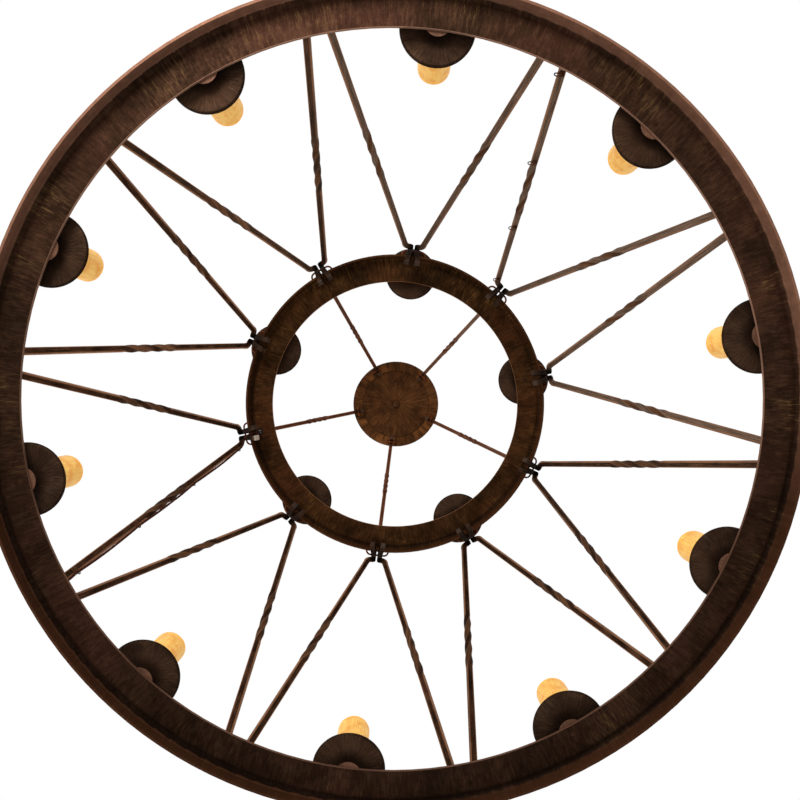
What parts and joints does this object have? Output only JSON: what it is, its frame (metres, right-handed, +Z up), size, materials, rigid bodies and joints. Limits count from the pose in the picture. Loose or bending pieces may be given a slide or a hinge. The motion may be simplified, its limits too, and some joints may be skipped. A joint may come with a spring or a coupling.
{
  "type": "wagon wheel chandelier",
  "caption": "Hanging two-tier ring chandelier: a large and a small iron ring hung from a top plate on twisted hooked rods, with glowing pillar candle lamps standing on both rings.",
  "frame": {"origin": "middle of the hanging eye's bore", "axes": "+Z up, along the eye bolt; +Y along the eye's bore; the fixture hangs below the origin"},
  "size_m": [1.5238, 1.561, 1.04],
  "materials": {
    "ring_iron": "brushed rust bronze",
    "plate_iron": "brushed rust bronze",
    "fixing_steel": "dull",
    "staple_iron": "rust bronze",
    "rod_iron": "hammered rust bronze",
    "cord": "matte",
    "bushing": "matte",
    "spacer_iron": "rust bronze",
    "pan_iron": "brushed rust bronze",
    "socket": "matte",
    "bulb_glass": "frosted, emissive",
    "candle_sleeve": "translucent, emissive"
  },
  "bodies": {
    "frame": {"outer_ring": "ring_iron", "inner_ring": "ring_iron", "top_plate": "plate_iron", "eye_bolt": "fixing_steel", "eye_bolt_nuts": "fixing_steel", "top_plate_staples": "staple_iron", "hub_rod_feet_staples": "staple_iron", "inner_ring_staples": "staple_iron", "outer_ring_staples": "staple_iron", "lower_rod_01": "rod_iron", "lower_rod_02": "rod_iron", "lower_rod_03": "rod_iron", "lower_rod_04": "rod_iron", "lower_rod_05": "rod_iron", "lower_rod_06": "rod_iron", "lower_rod_07": "rod_iron", "lower_rod_08": "rod_iron", "lower_rod_09": "rod_iron", "lower_rod_10": "rod_iron", "lower_rod_11": "rod_iron", "lower_rod_12": "rod_iron", "lower_rod_13": "rod_iron", "lower_rod_14": "rod_iron", "lower_rod_15": "rod_iron", "lower_rod_16": "rod_iron", "lower_rod_17": "rod_iron", "lower_rod_18": "rod_iron", "lower_rod_19": "rod_iron", "lower_rod_20": "rod_iron", "hub_rod_1": "rod_iron", "hub_rod_2": "rod_iron", "hub_rod_3": "rod_iron", "hub_rod_4": "rod_iron", "hub_rod_5": "rod_iron", "guide_rings": "staple_iron", "feed_cord": "cord", "cord_bushings": "bushing", "outer_spacers": "spacer_iron", "inner_spacers": "spacer_iron", "outer_bobeches": "pan_iron", "inner_bobeches": "pan_iron", "lamp_nipples": "fixing_steel", "lamp_sockets": "socket", "bulbs": "bulb_glass"},
    "outer_candle_01_body": {"outer_candle_01": "candle_sleeve"},
    "outer_candle_02_body": {"outer_candle_02": "candle_sleeve"},
    "outer_candle_03_body": {"outer_candle_03": "candle_sleeve"},
    "outer_candle_04_body": {"outer_candle_04": "candle_sleeve"},
    "outer_candle_05_body": {"outer_candle_05": "candle_sleeve"},
    "outer_candle_06_body": {"outer_candle_06": "candle_sleeve"},
    "outer_candle_07_body": {"outer_candle_07": "candle_sleeve"},
    "outer_candle_08_body": {"outer_candle_08": "candle_sleeve"},
    "outer_candle_09_body": {"outer_candle_09": "candle_sleeve"},
    "outer_candle_10_body": {"outer_candle_10": "candle_sleeve"},
    "inner_candle_1_body": {"inner_candle_1": "candle_sleeve"},
    "inner_candle_2_body": {"inner_candle_2": "candle_sleeve"},
    "inner_candle_3_body": {"inner_candle_3": "candle_sleeve"},
    "inner_candle_4_body": {"inner_candle_4": "candle_sleeve"},
    "inner_candle_5_body": {"inner_candle_5": "candle_sleeve"}
  },
  "joints": [
    {"name": "outer_candle_01_lift", "type": "slide", "parent": "frame", "child": "outer_candle_01_body", "axis": [0, 0, 1], "range_m": [0, 0.15]},
    {"name": "outer_candle_02_lift", "type": "slide", "parent": "frame", "child": "outer_candle_02_body", "axis": [0, 0, 1], "range_m": [0, 0.15]},
    {"name": "outer_candle_03_lift", "type": "slide", "parent": "frame", "child": "outer_candle_03_body", "axis": [0, 0, 1], "range_m": [0, 0.15]},
    {"name": "outer_candle_04_lift", "type": "slide", "parent": "frame", "child": "outer_candle_04_body", "axis": [0, 0, 1], "range_m": [0, 0.15]},
    {"name": "outer_candle_05_lift", "type": "slide", "parent": "frame", "child": "outer_candle_05_body", "axis": [0, 0, 1], "range_m": [0, 0.15]},
    {"name": "outer_candle_06_lift", "type": "slide", "parent": "frame", "child": "outer_candle_06_body", "axis": [0, 0, 1], "range_m": [0, 0.15]},
    {"name": "outer_candle_07_lift", "type": "slide", "parent": "frame", "child": "outer_candle_07_body", "axis": [0, 0, 1], "range_m": [0, 0.15]},
    {"name": "outer_candle_08_lift", "type": "slide", "parent": "frame", "child": "outer_candle_08_body", "axis": [0, 0, 1], "range_m": [0, 0.15]},
    {"name": "outer_candle_09_lift", "type": "slide", "parent": "frame", "child": "outer_candle_09_body", "axis": [0, 0, 1], "range_m": [0, 0.15]},
    {"name": "outer_candle_10_lift", "type": "slide", "parent": "frame", "child": "outer_candle_10_body", "axis": [0, 0, 1], "range_m": [0, 0.15]},
    {"name": "inner_candle_1_lift", "type": "slide", "parent": "frame", "child": "inner_candle_1_body", "axis": [0, 0, 1], "range_m": [0, 0.15]},
    {"name": "inner_candle_2_lift", "type": "slide", "parent": "frame", "child": "inner_candle_2_body", "axis": [0, 0, 1], "range_m": [0, 0.15]},
    {"name": "inner_candle_3_lift", "type": "slide", "parent": "frame", "child": "inner_candle_3_body", "axis": [0, 0, 1], "range_m": [0, 0.15]},
    {"name": "inner_candle_4_lift", "type": "slide", "parent": "frame", "child": "inner_candle_4_body", "axis": [0, 0, 1], "range_m": [0, 0.15]},
    {"name": "inner_candle_5_lift", "type": "slide", "parent": "frame", "child": "inner_candle_5_body", "axis": [0, 0, 1], "range_m": [0, 0.15]}
  ]
}
